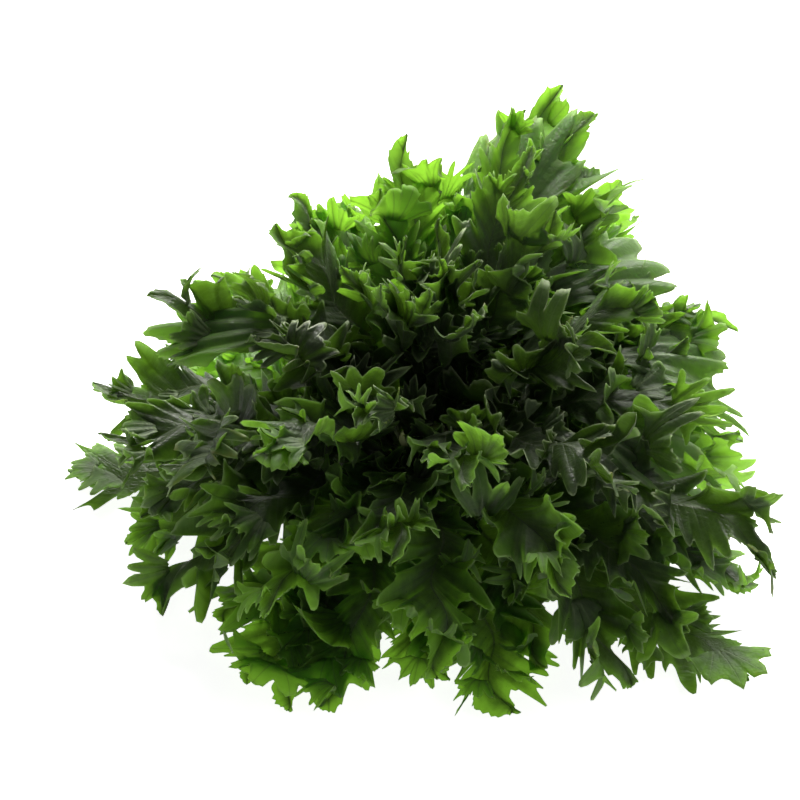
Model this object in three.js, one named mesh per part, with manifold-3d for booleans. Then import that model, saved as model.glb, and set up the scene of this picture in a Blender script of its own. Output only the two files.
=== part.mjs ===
// A head of curly endive, resting on its cut stem: millimetres, +Z up, origin on the surface below the head.
// The leaves stand round a short crown in the golden-angle spiral in which an endive grows them. The lowest
// spread and droop until they lie on the surface, the higher ones stand up and arch outwards, and a heart of
// young leaves fills the middle. Every leaf is one closed blade with cut edges whose lobes roll up and down.
import * as THREE from "three";
import { mergeVertices } from "three/addons/utils/BufferGeometryUtils.js";
import Module from "manifold-3d";

const wasm = await Module();
wasm.setup();

// Stem and crown
const cutRadius = 15; // the pale face where the head was cut
const crownRadius = 19;
const crownHeight = 17; // centre of the crown's dome above the surface
const cutChamfer = { width: 1.2, height: 3 };
const domeRings = [110, 95, 80, 65, 50, 35, 18]; // degrees from the vertical
const stemSides = 16;
const rootGap = 0.35; // between a leaf's foot and the crown

// The spiral of leaves, from the lowest to the highest
const leafCount = 48;
const goldenAngle = 137.508;
const spiralStart = 42.8;
const footPolar = { low: 97, high: 37 }; // degrees from the vertical, on the crown's dome
const startRise = { low: 8, high: 82 }; // elevation of the midrib where it leaves the crown
const endRise = { low: -51, high: 37 }; // and at its tip
const risePower = 1.1; // above 1, more of the leaves stay low
const archPower = 1.15; // above 1, a leaf bends more towards its tip
const backLean = { start: 3, end: 12 }; // degrees more rise at the back, and less at the front
const leafLength = { low: 143, high: 117 };
const bladeReach = { low: 38, high: 29 }; // longest side vein, from midrib to lobe tip
const petioleHalf = 4.6;
const petioleRoll = 0.55; // radians, so that the stalk is a shallow gutter
const footThickness = 2.4; // along the midrib
const edgeThickness = 1.4;
const bladeThickness = 0.9; // of the outer half of a leaf
const lowestBlade = 1.5; // midsurface height of a blade that lies on the surface
const pressedBelow = 18; // height from which a leaf starts to flatten against the surface

// How far one leaf differs from the next: degrees, or shares of its own size
const differ = { turn: 3, endRise: 4, length: 0.06, reach: 0.08, sway: 9, twist: 14, vein: 0.14, veinAngle: 1 };

// How far the leaves reach round the head: a tall tuft at the back right, shorter leaves at the back left, and
// longer ones at the left and at the front right
const reachBumps = [
  { towards: 66, gain: 0.41, spread: 14 },
  { towards: 117, gain: -0.15, spread: 54 },
  { towards: 180, gain: 0.21, spread: 8 },
  { towards: 195, gain: -0.16, spread: 8 },
  { towards: 324, gain: 0.4, spread: 8 },
  { towards: 359, gain: -0.07, spread: 10 },
];

// Lobes along each edge, blunt at the tip and cut back by a notch between them
const lobeCount = { outer: 5, inner: 4 };
const lobesFrom = 0.2; // share of the midrib
const lobesTo = 0.85;
const veinAngle = { base: 74, tip: 38 }; // between side vein and midrib
const firstLobe = 0.4; // reach of the lobe next to the petiole, as a share of bladeReach
const tipReach = 0.74; // of the lobe that ends the leaf
// The side veins of one lobe: place along its stretch of midrib, degrees more than the lobe's own angle, and
// share of its reach
const lobeVeins = {
  shoulder: { place: 0.14, more: 8, reach: 0.72 },
  corner: { place: 0.42, more: 2, reach: 0.97 },
  tip: { place: 0.62, more: -4, reach: 1 },
  notch: { place: 0.95, more: -3, reach: 0.42 },
};
// The side veins of the lobe that ends the leaf, as shares of the midrib and of tipReach
const endVeins = [
  { t: 0.88, angle: 30, reach: 0.62 },
  { t: 0.91, angle: 10, reach: 0.95 },
];
const tipFrom = 0.93; // share of the midrib where the vein to the leaf's very tip starts
const tipRoll = 0.6; // share of a side lobe's roll
const curl = { mean: 0.1, swing: 0.85 }; // radians that a lobe rolls, up for plus
const curlShare = { low: 1, high: 0.6 }; // the leaves near the axis have less room to roll
const lyingRoll = 0.2; // share of its roll left to a lobe pressed against the surface
const closestAxis = 12; // no side vein bends round the head's axis more tightly than this

// The heart: a small tapered core with young leaves rooted in it
const coreProfile = [
  [0, 0],
  [5, 0],
  [6.5, 8],
  [5, 24],
  [0, 30],
];
const coreSides = 8;
const heartLeaves = 8;
const heartLobes = 2;
const heartFoot = { low: 6, high: 23 }; // height of a young leaf's foot in the core
const heartFootRadius = 2.5;
const heartStartRise = { low: 82, high: 88 };
const heartEndRise = { low: 50, high: 80 };
const heartLength = { low: 104, high: 80 };
const heartReach = 15;
const heartPetiole = 2.6;
const heartCurl = 0.5;
const heartAxis = 6;
const heartDiffer = { length: 0.08, sway: 6, twist: 8 };

const degrees = THREE.MathUtils.degToRad;
const mix = (range, t) => range.low + (range.high - range.low) * t;

// A repeatable chance from 0 to 1 for one trait of one leaf.
function chance(leaf, trait) {
  const x = Math.sin(leaf * 12.9898 + trait * 78.233 + 6.2) * 43758.5453;
  return x - Math.floor(x);
}
const spread = (leaf, trait, size) => (chance(leaf, trait) - 0.5) * 2 * size;

function reachTowards(turn) {
  let gain = 1;
  for (const bump of reachBumps) {
    const off = ((((turn - bump.towards) % 360) + 540) % 360) - 180;
    gain += bump.gain * Math.exp(-((off / bump.spread) ** 2));
  }
  return gain;
}

// The midrib: points and directions at equal steps from foot to tip. Its rise goes from the start rise to the
// end rise, its heading sways sideways, and the blade twists about it. bend is how tightly the round surface
// that the leaf lies on bends round the head's axis.
function midrib(leaf) {
  const steps = 48;
  const stations = [];
  const at = leaf.foot.clone();
  for (let i = 0; i <= steps; i++) {
    const t = i / steps;
    const rise = degrees(leaf.startRise + (leaf.endRise - leaf.startRise) * t ** archPower);
    const heading = degrees(leaf.turn + leaf.sway * t * t);
    const along = new THREE.Vector3(
      Math.cos(rise) * Math.cos(heading),
      Math.cos(rise) * Math.sin(heading),
      Math.sin(rise),
    );
    const side = new THREE.Vector3(-Math.sin(heading), Math.cos(heading), 0);
    const up = new THREE.Vector3().crossVectors(along, side);
    const twist = degrees(leaf.twist * t);
    stations.push({
      at: at.clone(),
      along,
      bend: Math.sin(rise) / Math.max(leaf.closest, Math.hypot(at.x, at.y)),
      side: side.clone().multiplyScalar(Math.cos(twist)).addScaledVector(up, Math.sin(twist)),
      up: up.clone().multiplyScalar(Math.cos(twist)).addScaledVector(side, -Math.sin(twist)),
    });
    at.addScaledVector(along, leaf.length / steps);
  }
  return (t) => stations[Math.round(t * steps)];
}

// The side veins, from foot to tip: three of the stalk, then a shoulder, two corners of the blunt tip and a
// notch for each lobe, then the lobe that ends the leaf. Each has its share of the midrib, its angle to the
// midrib in degrees and its length. A whole number in lobe names the lobe, and a half the notch after it.
function veins(leaf) {
  const rows = [
    { t: 0, angle: 90, reach: leaf.petiole, fixed: true },
    { t: 0.09, angle: 88, reach: leaf.petiole * 1.1, fixed: true },
    { t: lobesFrom - 0.02, angle: 80, reach: leaf.petiole * 1.3, fixed: true },
  ];
  const lobes = leaf.lobes;
  const span = (lobesTo - lobesFrom) / lobes;
  for (let i = 0; i < lobes; i++) {
    const share = i / Math.max(1, lobes - 1);
    const angle = veinAngle.base + (veinAngle.tip - veinAngle.base) * share;
    const reach = leaf.reach * (1 - (1 - firstLobe) * (1 - share) ** 2);
    const from = lobesFrom + span * i;
    for (const [part, vein] of Object.entries(lobeVeins))
      rows.push({
        t: from + span * vein.place,
        angle: angle + vein.more,
        reach: reach * vein.reach,
        lobe: part === "notch" ? i + 0.5 : i,
      });
  }
  const end = leaf.reach * tipReach;
  for (const vein of endVeins) rows.push({ ...vein, reach: end * vein.reach, lobe: lobes });
  rows.push({ t: tipFrom, angle: 0, reach: end, lobe: lobes, tip: true });
  return rows;
}

// How far a lobe rolls on the left (+1) or the right (-1): neighbours roll opposite ways, by different amounts,
// and a notch rolls as the mean of the two lobes beside it.
function roll(leaf, lobe, side) {
  const at = (i) => {
    const way = (i + (side > 0 ? 0 : 1) + leaf.index) % 2 ? 1 : -1;
    return curl.mean + way * curl.swing * leaf.curl * (0.45 + 0.55 * chance(leaf.index, 20 + i * 2 + side));
  };
  const i = Math.floor(lobe);
  return lobe === i ? at(i) : (at(i) + at(i + 1)) / 2;
}

// One leaf as a closed thin solid: the points of its middle surface, pushed half a thickness to each side.
function leafGeometry(leaf) {
  const station = midrib(leaf);
  const rows = veins(leaf);
  const points = [];
  const grid = []; // for each row: left edge, midrib, right edge
  const half = [];
  const add = (p, thickness) => {
    points.push(p);
    half.push(thickness / 2);
    return points.length - 1;
  };
  const room = pressedBelow - lowestBlade;
  const press = (p) => {
    if (p.z < pressedBelow) p.z = lowestBlade + room * Math.exp((p.z - pressedBelow) / room);
    return p;
  };
  rows.forEach((row, j) => {
    const s = station(row.t);
    const thick = footThickness + (bladeThickness - footThickness) * Math.min(1, row.t / 0.5);
    const free = Math.min(1, Math.max(lyingRoll, s.at.z / pressedBelow));
    const edges = [1, -1].map((side) => {
      if (row.tip && side < 0) return null;
      const vary = row.fixed || row.tip ? 0 : 1;
      const reach = row.reach * (1 + vary * spread(leaf.index, 60 + j * 2 + side, differ.vein));
      const angle = degrees(row.angle + vary * spread(leaf.index, 120 + j * 2 + side, differ.veinAngle));
      const wrap = reach * Math.sin(angle) * s.bend;
      const rolled = row.fixed ? petioleRoll : wrap + roll(leaf, row.lobe, side) * free * (row.tip ? tipRoll : 1);
      const out = (reach * Math.sin(rolled)) / rolled;
      const lift = (reach * (1 - Math.cos(rolled))) / rolled;
      const p = s.at
        .clone()
        .addScaledVector(s.along, Math.cos(angle) * out)
        .addScaledVector(s.side, side * Math.sin(angle) * out)
        .addScaledVector(s.up, lift);
      return add(press(p), Math.min(thick, edgeThickness));
    });
    const mid = add(press(s.at.clone()), thick);
    grid.push([edges[0], mid, edges[1] ?? edges[0]]);
  });

  const faces = [];
  for (let j = 0; j + 1 < grid.length; j++) {
    const [l0, m0, r0] = grid[j];
    const [l1, m1, r1] = grid[j + 1];
    faces.push([m0, m1, l0], [m1, l1, l0], [m0, r0, m1], [m1, r0, r1]);
  }
  const normals = points.map(() => new THREE.Vector3());
  for (const [a, b, c] of faces) {
    const n = new THREE.Vector3()
      .subVectors(points[b], points[a])
      .cross(new THREE.Vector3().subVectors(points[c], points[a]));
    for (const i of [a, b, c]) normals[i].add(n);
  }
  normals.forEach((n) => n.normalize());
  const count = points.length;
  const position = [];
  for (const way of [1, -1])
    points.forEach((p, i) => {
      const q = p.clone().addScaledVector(normals[i], way * half[i]);
      position.push(q.x, q.y, q.z);
    });
  const index = [];
  for (const [a, b, c] of faces) index.push(a, b, c, a + count, c + count, b + count);
  const rim = [
    ...grid.map((row) => row[2]).slice(0, -1),
    ...grid.map((row) => row[0]).reverse(),
    grid[0][1],
  ];
  rim.forEach((a, i) => {
    const b = rim[(i + 1) % rim.length];
    index.push(a, a + count, b, b, a + count, b + count);
  });
  const geometry = new THREE.BufferGeometry();
  geometry.setAttribute("position", new THREE.Float32BufferAttribute(position, 3));
  geometry.setIndex(index);
  return geometry;
}

// Where leaf number i of the spiral stands and how it grows.
function spiralLeaf(i) {
  const t = i / (leafCount - 1);
  const turn = spiralStart + goldenAngle * i + spread(i, 1, differ.turn);
  const cosine = Math.cos(degrees(footPolar.low)) * (1 - t) + Math.cos(degrees(footPolar.high)) * t;
  const polar = Math.acos(cosine);
  const back = Math.sin(degrees(turn));
  const start = mix(startRise, t ** risePower) + backLean.start * back;
  const lean = Math.abs(Math.sin(degrees(start) - (Math.PI / 2 - polar)));
  const from = crownRadius + rootGap + (footThickness / 2) * lean;
  return {
    index: i,
    turn,
    foot: new THREE.Vector3(
      from * Math.sin(polar) * Math.cos(degrees(turn)),
      from * Math.sin(polar) * Math.sin(degrees(turn)),
      crownHeight + from * Math.cos(polar),
    ),
    startRise: start,
    endRise: mix(endRise, t ** risePower) + backLean.end * back + spread(i, 2, differ.endRise),
    length: mix(leafLength, t) * reachTowards(turn) * (1 + spread(i, 3, differ.length)),
    reach: mix(bladeReach, t) * (1 + spread(i, 4, differ.reach)),
    petiole: petioleHalf,
    lobes: t < 0.5 ? lobeCount.outer : lobeCount.inner,
    sway: spread(i, 5, differ.sway),
    twist: spread(i, 6, differ.twist),
    curl: mix(curlShare, t),
    closest: closestAxis,
  };
}

function solid(geometry) {
  const plain = geometry.clone();
  plain.deleteAttribute("normal");
  plain.deleteAttribute("uv");
  const merged = mergeVertices(plain, 1e-4);
  return new wasm.Manifold(
    new wasm.Mesh({
      numProp: 3,
      vertProperties: merged.attributes.position.array,
      triVerts: new Uint32Array(merged.index.array),
    }),
  );
}

function geometryOf(shape) {
  const mesh = shape.getMesh();
  const geometry = new THREE.BufferGeometry();
  geometry.setAttribute("position", new THREE.BufferAttribute(new Float32Array(mesh.vertProperties), 3));
  geometry.setIndex(new THREE.BufferAttribute(new Uint32Array(mesh.triVerts), 1));
  return geometry;
}

// The cut stem and the dome of the crown, turned about the vertical axis.
function stemGeometry() {
  const profile = [
    new THREE.Vector2(0, 0),
    new THREE.Vector2(cutRadius, 0),
    new THREE.Vector2(cutRadius + cutChamfer.width, cutChamfer.height),
  ];
  for (const polar of domeRings)
    profile.push(
      new THREE.Vector2(
        crownRadius * Math.sin(degrees(polar)),
        crownHeight + crownRadius * Math.cos(degrees(polar)),
      ),
    );
  profile.push(new THREE.Vector2(0, crownHeight + crownRadius));
  const geometry = new THREE.LatheGeometry(profile, stemSides);
  geometry.rotateX(Math.PI / 2);
  return geometry;
}

// The heart: the core and its young leaves, all joined.
function heartGeometry() {
  const base = crownHeight + crownRadius + rootGap;
  const core = new THREE.LatheGeometry(
    coreProfile.map(([r, z]) => new THREE.Vector2(r, z)),
    coreSides,
  );
  core.rotateX(Math.PI / 2);
  core.translate(0, 0, base);
  let heart = solid(core);
  for (let i = 0; i < heartLeaves; i++) {
    const t = i / (heartLeaves - 1);
    const turn = spiralStart + goldenAngle * (leafCount + i);
    const leaf = {
      index: 100 + i,
      turn,
      foot: new THREE.Vector3(
        heartFootRadius * Math.cos(degrees(turn)),
        heartFootRadius * Math.sin(degrees(turn)),
        base + mix(heartFoot, t),
      ),
      startRise: mix(heartStartRise, t),
      endRise: mix(heartEndRise, t),
      length: mix(heartLength, t) * (1 + spread(i, 7, heartDiffer.length)),
      reach: heartReach,
      petiole: heartPetiole,
      lobes: heartLobes,
      sway: spread(i, 8, heartDiffer.sway),
      twist: spread(i, 9, heartDiffer.twist),
      curl: heartCurl,
      closest: heartAxis,
    };
    heart = heart.add(solid(leafGeometry(leaf)));
  }
  return geometryOf(heart);
}

const stemMaterial = new THREE.MeshStandardMaterial({ color: 0xe4e2c0, roughness: 0.6, metalness: 0 });
const leafMaterial = new THREE.MeshStandardMaterial({ color: 0x3d7a1c, roughness: 0.55, metalness: 0 });
const heartMaterial = new THREE.MeshStandardMaterial({ color: 0x4d8a22, roughness: 0.55, metalness: 0 });

const head = new THREE.Group();
function place(name, geometry, material) {
  const mesh = new THREE.Mesh(geometry, material);
  mesh.name = name;
  head.add(mesh);
}

place("stem", stemGeometry(), stemMaterial);
for (let i = 0; i < leafCount; i++)
  place("leaf_" + String(i + 1).padStart(2, "0"), leafGeometry(spiralLeaf(i)), leafMaterial);
place("heart", heartGeometry(), heartMaterial);

export default head;
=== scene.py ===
import math

import bpy
import numpy as np
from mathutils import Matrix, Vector


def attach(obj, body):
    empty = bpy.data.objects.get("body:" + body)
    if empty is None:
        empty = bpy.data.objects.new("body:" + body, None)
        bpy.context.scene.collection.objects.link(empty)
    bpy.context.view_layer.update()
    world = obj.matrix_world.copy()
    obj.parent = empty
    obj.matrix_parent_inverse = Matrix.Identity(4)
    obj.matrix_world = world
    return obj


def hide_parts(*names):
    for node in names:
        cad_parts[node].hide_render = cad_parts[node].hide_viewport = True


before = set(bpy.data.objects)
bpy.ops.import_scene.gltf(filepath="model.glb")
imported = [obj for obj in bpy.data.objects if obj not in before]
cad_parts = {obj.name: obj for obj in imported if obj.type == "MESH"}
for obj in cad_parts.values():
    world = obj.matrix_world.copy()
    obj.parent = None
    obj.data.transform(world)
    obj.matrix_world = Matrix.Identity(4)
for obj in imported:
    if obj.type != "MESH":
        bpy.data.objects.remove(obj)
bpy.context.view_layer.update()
millimetre = 0.001

# Camera, floor and light

view = {
    "azimuth": 0.0,  # degrees; 0 looks along +Y
    "elevation": 45.0,
    "distance": 1.6,  # metres
    "aim": (-0.0127, -0.0066, 0.0654),
    "lens": 151.0,
}


# Unit vector from the head towards a camera or light, from its angles in degrees.
def directionTo(azimuth, elevation):
    a, e = math.radians(azimuth), math.radians(elevation)
    return Vector((math.sin(a) * math.cos(e), -math.cos(a) * math.cos(e), math.sin(e)))


# Puts a camera or a lamp at a distance from the aim, turned towards it, and links it.
def placeRound(made, azimuth, elevation, distance):
    back = directionTo(azimuth, elevation)
    made.location = Vector(view["aim"]) + back * distance
    made.rotation_euler = (-back).to_track_quat("-Z", "Y").to_euler()
    bpy.context.scene.collection.objects.link(made)


# The camera that sees the head as the photo does
def makeCamera(settings):
    data = bpy.data.cameras.new("camera")
    data.lens = settings["lens"]
    camera = bpy.data.objects.new("camera", data)
    placeRound(camera, settings["azimuth"], settings["elevation"], settings["distance"])
    bpy.context.scene.camera = camera


makeCamera(view)

room = {
    "floorColor": (0.9, 0.9, 0.9, 1),
    "floorGlow": 1.0,  # the floor is lit from below, as a light table is
    "floorHalf": 4.0,  # metres
    "floorRoughness": 0.9,
    "worldColor": (1, 1, 1, 1),
    "worldStrength": 0.05,
    # azimuth, elevation, distance, size in metres, watts, colour
    "lamps": {
        "back_soft": (172, 30, 1.7, 1.2, 90, (1, 0.98, 0.95)),
        "right_soft": (75, 28, 1.6, 0.9, 4.5, (1, 1, 1)),
        "left_soft": (-75, 24, 1.6, 0.9, 1.2, (1, 1, 1)),
    },
}


# A faint white world, a floor that glows and soft area lamps round the head
def makeRoom(settings):
    world = bpy.data.worlds.new("soft_box")
    bpy.context.scene.world = world
    world.use_nodes = True
    background = world.node_tree.nodes["Background"]
    background.inputs["Color"].default_value = settings["worldColor"]
    background.inputs["Strength"].default_value = settings["worldStrength"]
    half = settings["floorHalf"]
    mesh = bpy.data.meshes.new("floor")
    corners = [(-half, -half, 0), (half, -half, 0), (half, half, 0), (-half, half, 0)]
    mesh.from_pydata(corners, [], [(0, 1, 2, 3)])
    floor = bpy.data.objects.new("floor", mesh)
    paper = bpy.data.materials.new("white_paper")
    paper.use_nodes = True
    shader = paper.node_tree.nodes["Principled BSDF"]
    shader.inputs["Base Color"].default_value = settings["floorColor"]
    shader.inputs["Roughness"].default_value = settings["floorRoughness"]
    shader.inputs["Emission Color"].default_value = settings["floorColor"]
    shader.inputs["Emission Strength"].default_value = settings["floorGlow"]
    mesh.materials.append(paper)
    bpy.context.scene.collection.objects.link(floor)
    for name, (azimuth, elevation, distance, size, watts, color) in settings["lamps"].items():
        data = bpy.data.lights.new(name, "AREA")
        data.size = size
        data.energy = watts
        data.color = color
        placeRound(bpy.data.objects.new(name, data), azimuth, elevation, distance)
    bpy.context.scene.view_settings.view_transform = "Standard"


makeRoom(room)
print("camera, floor and light set")

# Shader maths


# A shader socket that holds a number: + - * / ** and the functions below add Math nodes.
class Value:

    def __init__(self, shader, socket):
        self.shader, self.socket = shader, socket

    def math(self, operation, *others, clamp=False):
        settings = {"operation": operation, "use_clamp": clamp}
        return self.shader.node("ShaderNodeMath", settings, dict(enumerate((self, *others))))["Value"]

    def __add__(self, other):
        return self.math("ADD", other)

    def __sub__(self, other):
        return self.math("SUBTRACT", other)

    def __mul__(self, other):
        return self.math("MULTIPLY", other)

    def __truediv__(self, other):
        return self.math("DIVIDE", other)

    def __pow__(self, other):
        return self.math("POWER", other)

    def __neg__(self):
        return self.math("MULTIPLY", -1.0)

    def __rsub__(self, other):
        return (-self).math("ADD", other)

    __radd__ = __add__
    __rmul__ = __mul__

    def clamp(self):
        return self.math("ADD", 0.0, clamp=True)

    # 0 below low, 1 above high, and an S-curve between; low may be above high.
    def smooth(self, low, high):
        if low > high:
            return 1 - self.smooth(high, low)
        settings = {"interpolation_type": "SMOOTHSTEP"}
        values = {"Value": self, "From Min": low, "From Max": high}
        return self.shader.node("ShaderNodeMapRange", settings, values)["Result"]


# A material's node tree, with one method for every kind of node.
class Shader:

    def __init__(self, name):
        self.material = bpy.data.materials.new(name)
        self.material.use_nodes = True
        self.tree = self.material.node_tree
        self.tree.nodes.clear()

    # Adds a node, sets its settings, then its sockets' values or links. Returns its outputs by name.
    def node(self, kind, settings=None, values=None):
        made = self.tree.nodes.new(kind)
        for key, value in (settings or {}).items():
            setattr(made, key, value)
        for key, value in (values or {}).items():
            socket = made.inputs[key]
            if isinstance(value, Value):
                self.tree.links.new(value.socket, socket)
            elif hasattr(value, "is_output"):
                self.tree.links.new(value, socket)
            else:
                socket.default_value = value
        number = ("VALUE", "INT")
        return {o.name: Value(self, o) if o.type in number else o for o in made.outputs if o.enabled}

    def attribute(self, name, output="Fac"):
        return self.node("ShaderNodeAttribute", {"attribute_name": name})[output]

    def scaled(self, vector, amounts):
        values = {0: vector, 1: amounts}
        return self.node("ShaderNodeVectorMath", {"operation": "MULTIPLY"}, values)["Vector"]

    def noise(self, vector, scale, detail=3.0):
        values = {"Vector": vector, "Scale": scale, "Detail": detail, "Roughness": 0.55}
        return self.node("ShaderNodeTexNoise", {}, values)["Fac"]

    # Colour a where factor is 0, and b where it is 1.
    def mixColor(self, factor, a, b):
        return self.node("ShaderNodeMix", {"data_type": "RGBA"}, {0: factor, 6: a, 7: b})["Result"]

    # Bumps from a height, for a pair of strength and depth in metres.
    def bump(self, pair, height):
        values = {"Strength": pair[0], "Distance": pair[1], "Height": height}
        return self.node("ShaderNodeBump", {}, values)["Normal"]

    # The first colour, and over it each layer's colour by its factor. Layers are (factor, name) pairs.
    def layered(self, colors, first, *layers):
        color = colors[first]
        for factor, name in layers:
            color = self.mixColor(factor, color, colors[name])
        return color

    def finish(self, surface):
        self.node("ShaderNodeOutputMaterial", {}, {"Surface": surface})
        return self.material


# How the leaves grow, as in the solids

crown = {"radius": 19.0, "height": 17.0, "gap": 0.35}

# Two values in brackets are those of the lowest leaf and of the highest. Angles are in degrees.
growth = {
    "leaves": 48,
    "golden": 137.508,
    "start": 42.8,
    "footPolar": (97.0, 37.0),  # from the vertical, on the crown's dome
    "startRise": (8.0, 82.0),
    "endRise": (-51.0, 37.0),
    "risePower": 1.1,
    "archPower": 1.15,
    "backLean": (3.0, 12.0),  # how much more leaves at the back rise at their start and end
    "length": (143.0, 117.0),  # mm, before the bumps below
    "reach": (38.0, 29.0),  # mm, of the longest side veins
    "petiole": 4.6,  # mm, half the stalk's width
    "petioleRoll": 0.55,  # radians
    "footThickness": 2.4,  # mm
    "lowest": 1.5,  # mm
    "pressedBelow": 18.0,  # mm
    "lyingRoll": 0.2,  # share of its roll that a lobe keeps where it lies
    "closest": 12.0,  # mm; nearer the axis than this, blades wrap round it no tighter
    "curlShare": (1.0, 0.6),
    "differ": {"turn": 3, "endRise": 4, "length": 0.06, "reach": 0.08, "sway": 9, "twist": 14},
}

# where leaves grow longer or shorter: direction in degrees, gain, spread
reachBumps = (
    (66, 0.41, 14), (117, -0.15, 54), (180, 0.21, 8),
    (195, -0.16, 8), (324, 0.4, 8), (359, -0.07, 10),
)

# where leaves carry a grey waxy bloom, and where painted light or painted shade makes their green lighter or
# darker
bloomBumps = ((46, 1.0, 42),)
paintedLightBumps = ((90, 1.7, 48), (190, -0.9, 32), (262, 0.3, 40), (318, -1.1, 22))

lobe = {
    "outer": 5,
    "inner": 4,
    "from": 0.2,
    "to": 0.85,
    "angle": (74.0, 38.0),  # degrees, from the first lobe to the last
    "first": 0.4,  # the first lobe's share of the reach
    "tipReach": 0.74,
    "tipFrom": 0.93,
    "tipRoll": 0.6,
    "tipSpan": 1.5,  # the end lobe's stretch, in lobes
    "veinJitter": 0.14,
    "angleJitter": 1.0,
    "curlMean": 0.1,
    "curlSwing": 0.85,
    "curlLeast": 0.45,
    # a lobe's veins: place along its stretch, degrees more, share of reach, added to the lobe's number
    "veins": ((0.14, 8, 0.72, 0), (0.42, 2, 0.97, 0), (0.62, -4, 1.0, 0), (0.95, -3, 0.42, 0.5)),
    # the stalk's: place on the midrib, degrees, share of the stalk's half width
    "stalk": ((0.0, 90, 1.0), (0.09, 88, 1.1), (0.18, 80, 1.3)),
    # the end's: place between tipVeinsFrom and the very tip, degrees, share of the end's reach
    "tip": ((0.0, 30, 0.62), (0.35, 29, 0.52), (0.68, 26, 0.33), (0.9, 22, 0.15), (1.0, 20, 0.02)),
    "tipVeinsFrom": 0.88,
}

# What the fine surface adds to a leaf of the solids
fine = {
    "rowsPerVein": {"stalk": 3, "outer": 7, "inner": 6, "tip": 5},
    "across": (0, 0.06, 0.2, 0.38, 0.56, 0.72, 0.85, 0.95, 1.0),
    "fingers": (0.25, 0.53, 0.81),  # places of their middles in the lobe
    "fingerWidth": 0.14,
    "fingerPitch": 0.27,  # share of the lobe from one finger to the next
    "fingerLength": 0.1,
    "fingerRoll": (0.2, 1.2),  # radians at the edge
    "fingerTwist": 0.9,
    "sameWay": 0.8,  # chance past which a finger rolls the way of the one before it
    "sinusDepth": (0.16, 0.42),  # share of the lobe's reach
    "sinusWidth": 0.085,  # share of the lobe
    "sinusShift": 0.04,
    "sinusPower": 2.4,  # past 2 a notch has a flat floor
    "shallow": (1.3, 0.39),  # on short rows fingers are cut less: gain with the reach, least share
    "blunt": (0.3, 0.89, 0.08),  # share added to the falling side of a lobe, its place and its width
    "lobeVaries": 0.16,  # share of its reach
    # how far the midrib wanders up and down and sideways (mm), from which share of it, over which share this
    # grows, and its pace in radians for the whole leaf
    "wave": (3.5, 0.2, 0.3, 17.0),
    "tooth": 2.3,  # mm
    "toothShare": 0.34,
    "toothSize": (0.4, 2.0),  # the smallest tooth, and what its chance adds
    "toothReach": (3.0, 6.0),  # mm; rows shorter than the first have no teeth, and they grow over the second
    "looseBelow": 0.1,  # rows of the stalk, which are held more than this, have no teeth
    "ripple": 0.16,  # radians
    "rippleVeins": 1.55,  # side veins from one ripple to the next
    "finePerVein": 2.0,
    "bareVein": 0.2,  # distance from a vein where there is no lobe
    "gutter": 0.5,  # mm
    "ribHeight": (1.5, 0.35),
    "ribWidth": (2.6, 0.9),
    "ribPower": 0.7,
    "ribAbove": 0.25,  # share of the midrib that shows on the upper side
    "bladeHalf": 0.26,
    "edgeHalf": 0.15,
    "tipCurl": 1.9,
    "endTwist": 26.0,  # degrees more twist at the tip
    "flat": (0.4, 9.7),  # shear of the laid-out blade in the patterns, and their step from leaf to leaf
}

# The number under which each trait draws its chance. A trait with many draws counts on from its number.
draws = {
    "turn": 1, "endRise": 2, "length": 3, "reach": 4, "sway": 5, "twist": 6, "youngLength": 7,
    "youngSway": 8, "youngTwist": 9, "lobeCurl": 20, "veinReach": 60, "veinAngle": 120,
    "fingerRoll": 340, "fingerWay": 360, "sinusPlace": 380, "fingerLength": 400, "sinusDepth": 420,
    "fingerTwist": 440, "lobeLength": 460, "tooth": 500, "ripple": 560, "endTwist": 610,
    "waveUp": 620, "waveSide": 630, "smallLength": 800, "tint": 862, "frill": 900, "fanFinger": 930,
    "fanLift": 960, "fanTooth": 1200, "fanShift": 1300, "fanWidth": 1400, "fanWave": 1500,
    "fanWaveSide": 1501,
}
# Leaves that aren't of the spiral count on from these indices, and so does the broad sheets' own surface.
firstIndex = {"heart": 100, "small": 200, "lone": 240, "broad": 400, "broadFan": 4000}
sideStep = {"fingers": 3.3, "teeth": 5.7}  # factors on a leaf's index, for draws that differ by side
scatter = {"leaf": 12.9898, "trait": 78.233, "seed": 6.2, "size": 43758.5453}
fullTurn = 6.28  # radians, for a phase drawn by chance


# A repeatable chance from 0 to 1 for one trait of one leaf: the fraction of a large sine.
def chance(leaf, trait):
    x = np.sin(leaf * scatter["leaf"] + trait * scatter["trait"] + scatter["seed"]) * scatter["size"]
    return x - np.floor(x)


# A chance from -size to size.
def spread(leaf, trait, size):
    return (chance(leaf, trait) - 0.5) * 2 * size


# From the pair's first value at 0 to its second at 1, in a straight line.
def between(pair, t):
    return pair[0] + (pair[1] - pair[0]) * t


# A vector's direction: the vector over its length.
def unit(vector):
    return vector / np.linalg.norm(vector)


# Heights below a level sink towards the lowest one by a fading exponential, so nothing passes the surface.
def pressed(z, g=growth):
    depth = g["pressedBelow"] - g["lowest"]
    sunk = g["lowest"] + depth * np.exp((z - g["pressedBelow"]) / depth)
    return np.where(z < g["pressedBelow"], sunk, z)


# 1 plus a bell-shaped bump for each direction (degrees), gain and spread in a list.
def towards(turn, bumps):
    gain = 1.0
    for middle, more, width in bumps:
        off = (turn - middle + 180) % 360 - 180
        gain += more * math.exp(-((off / width) ** 2))
    return gain


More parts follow.
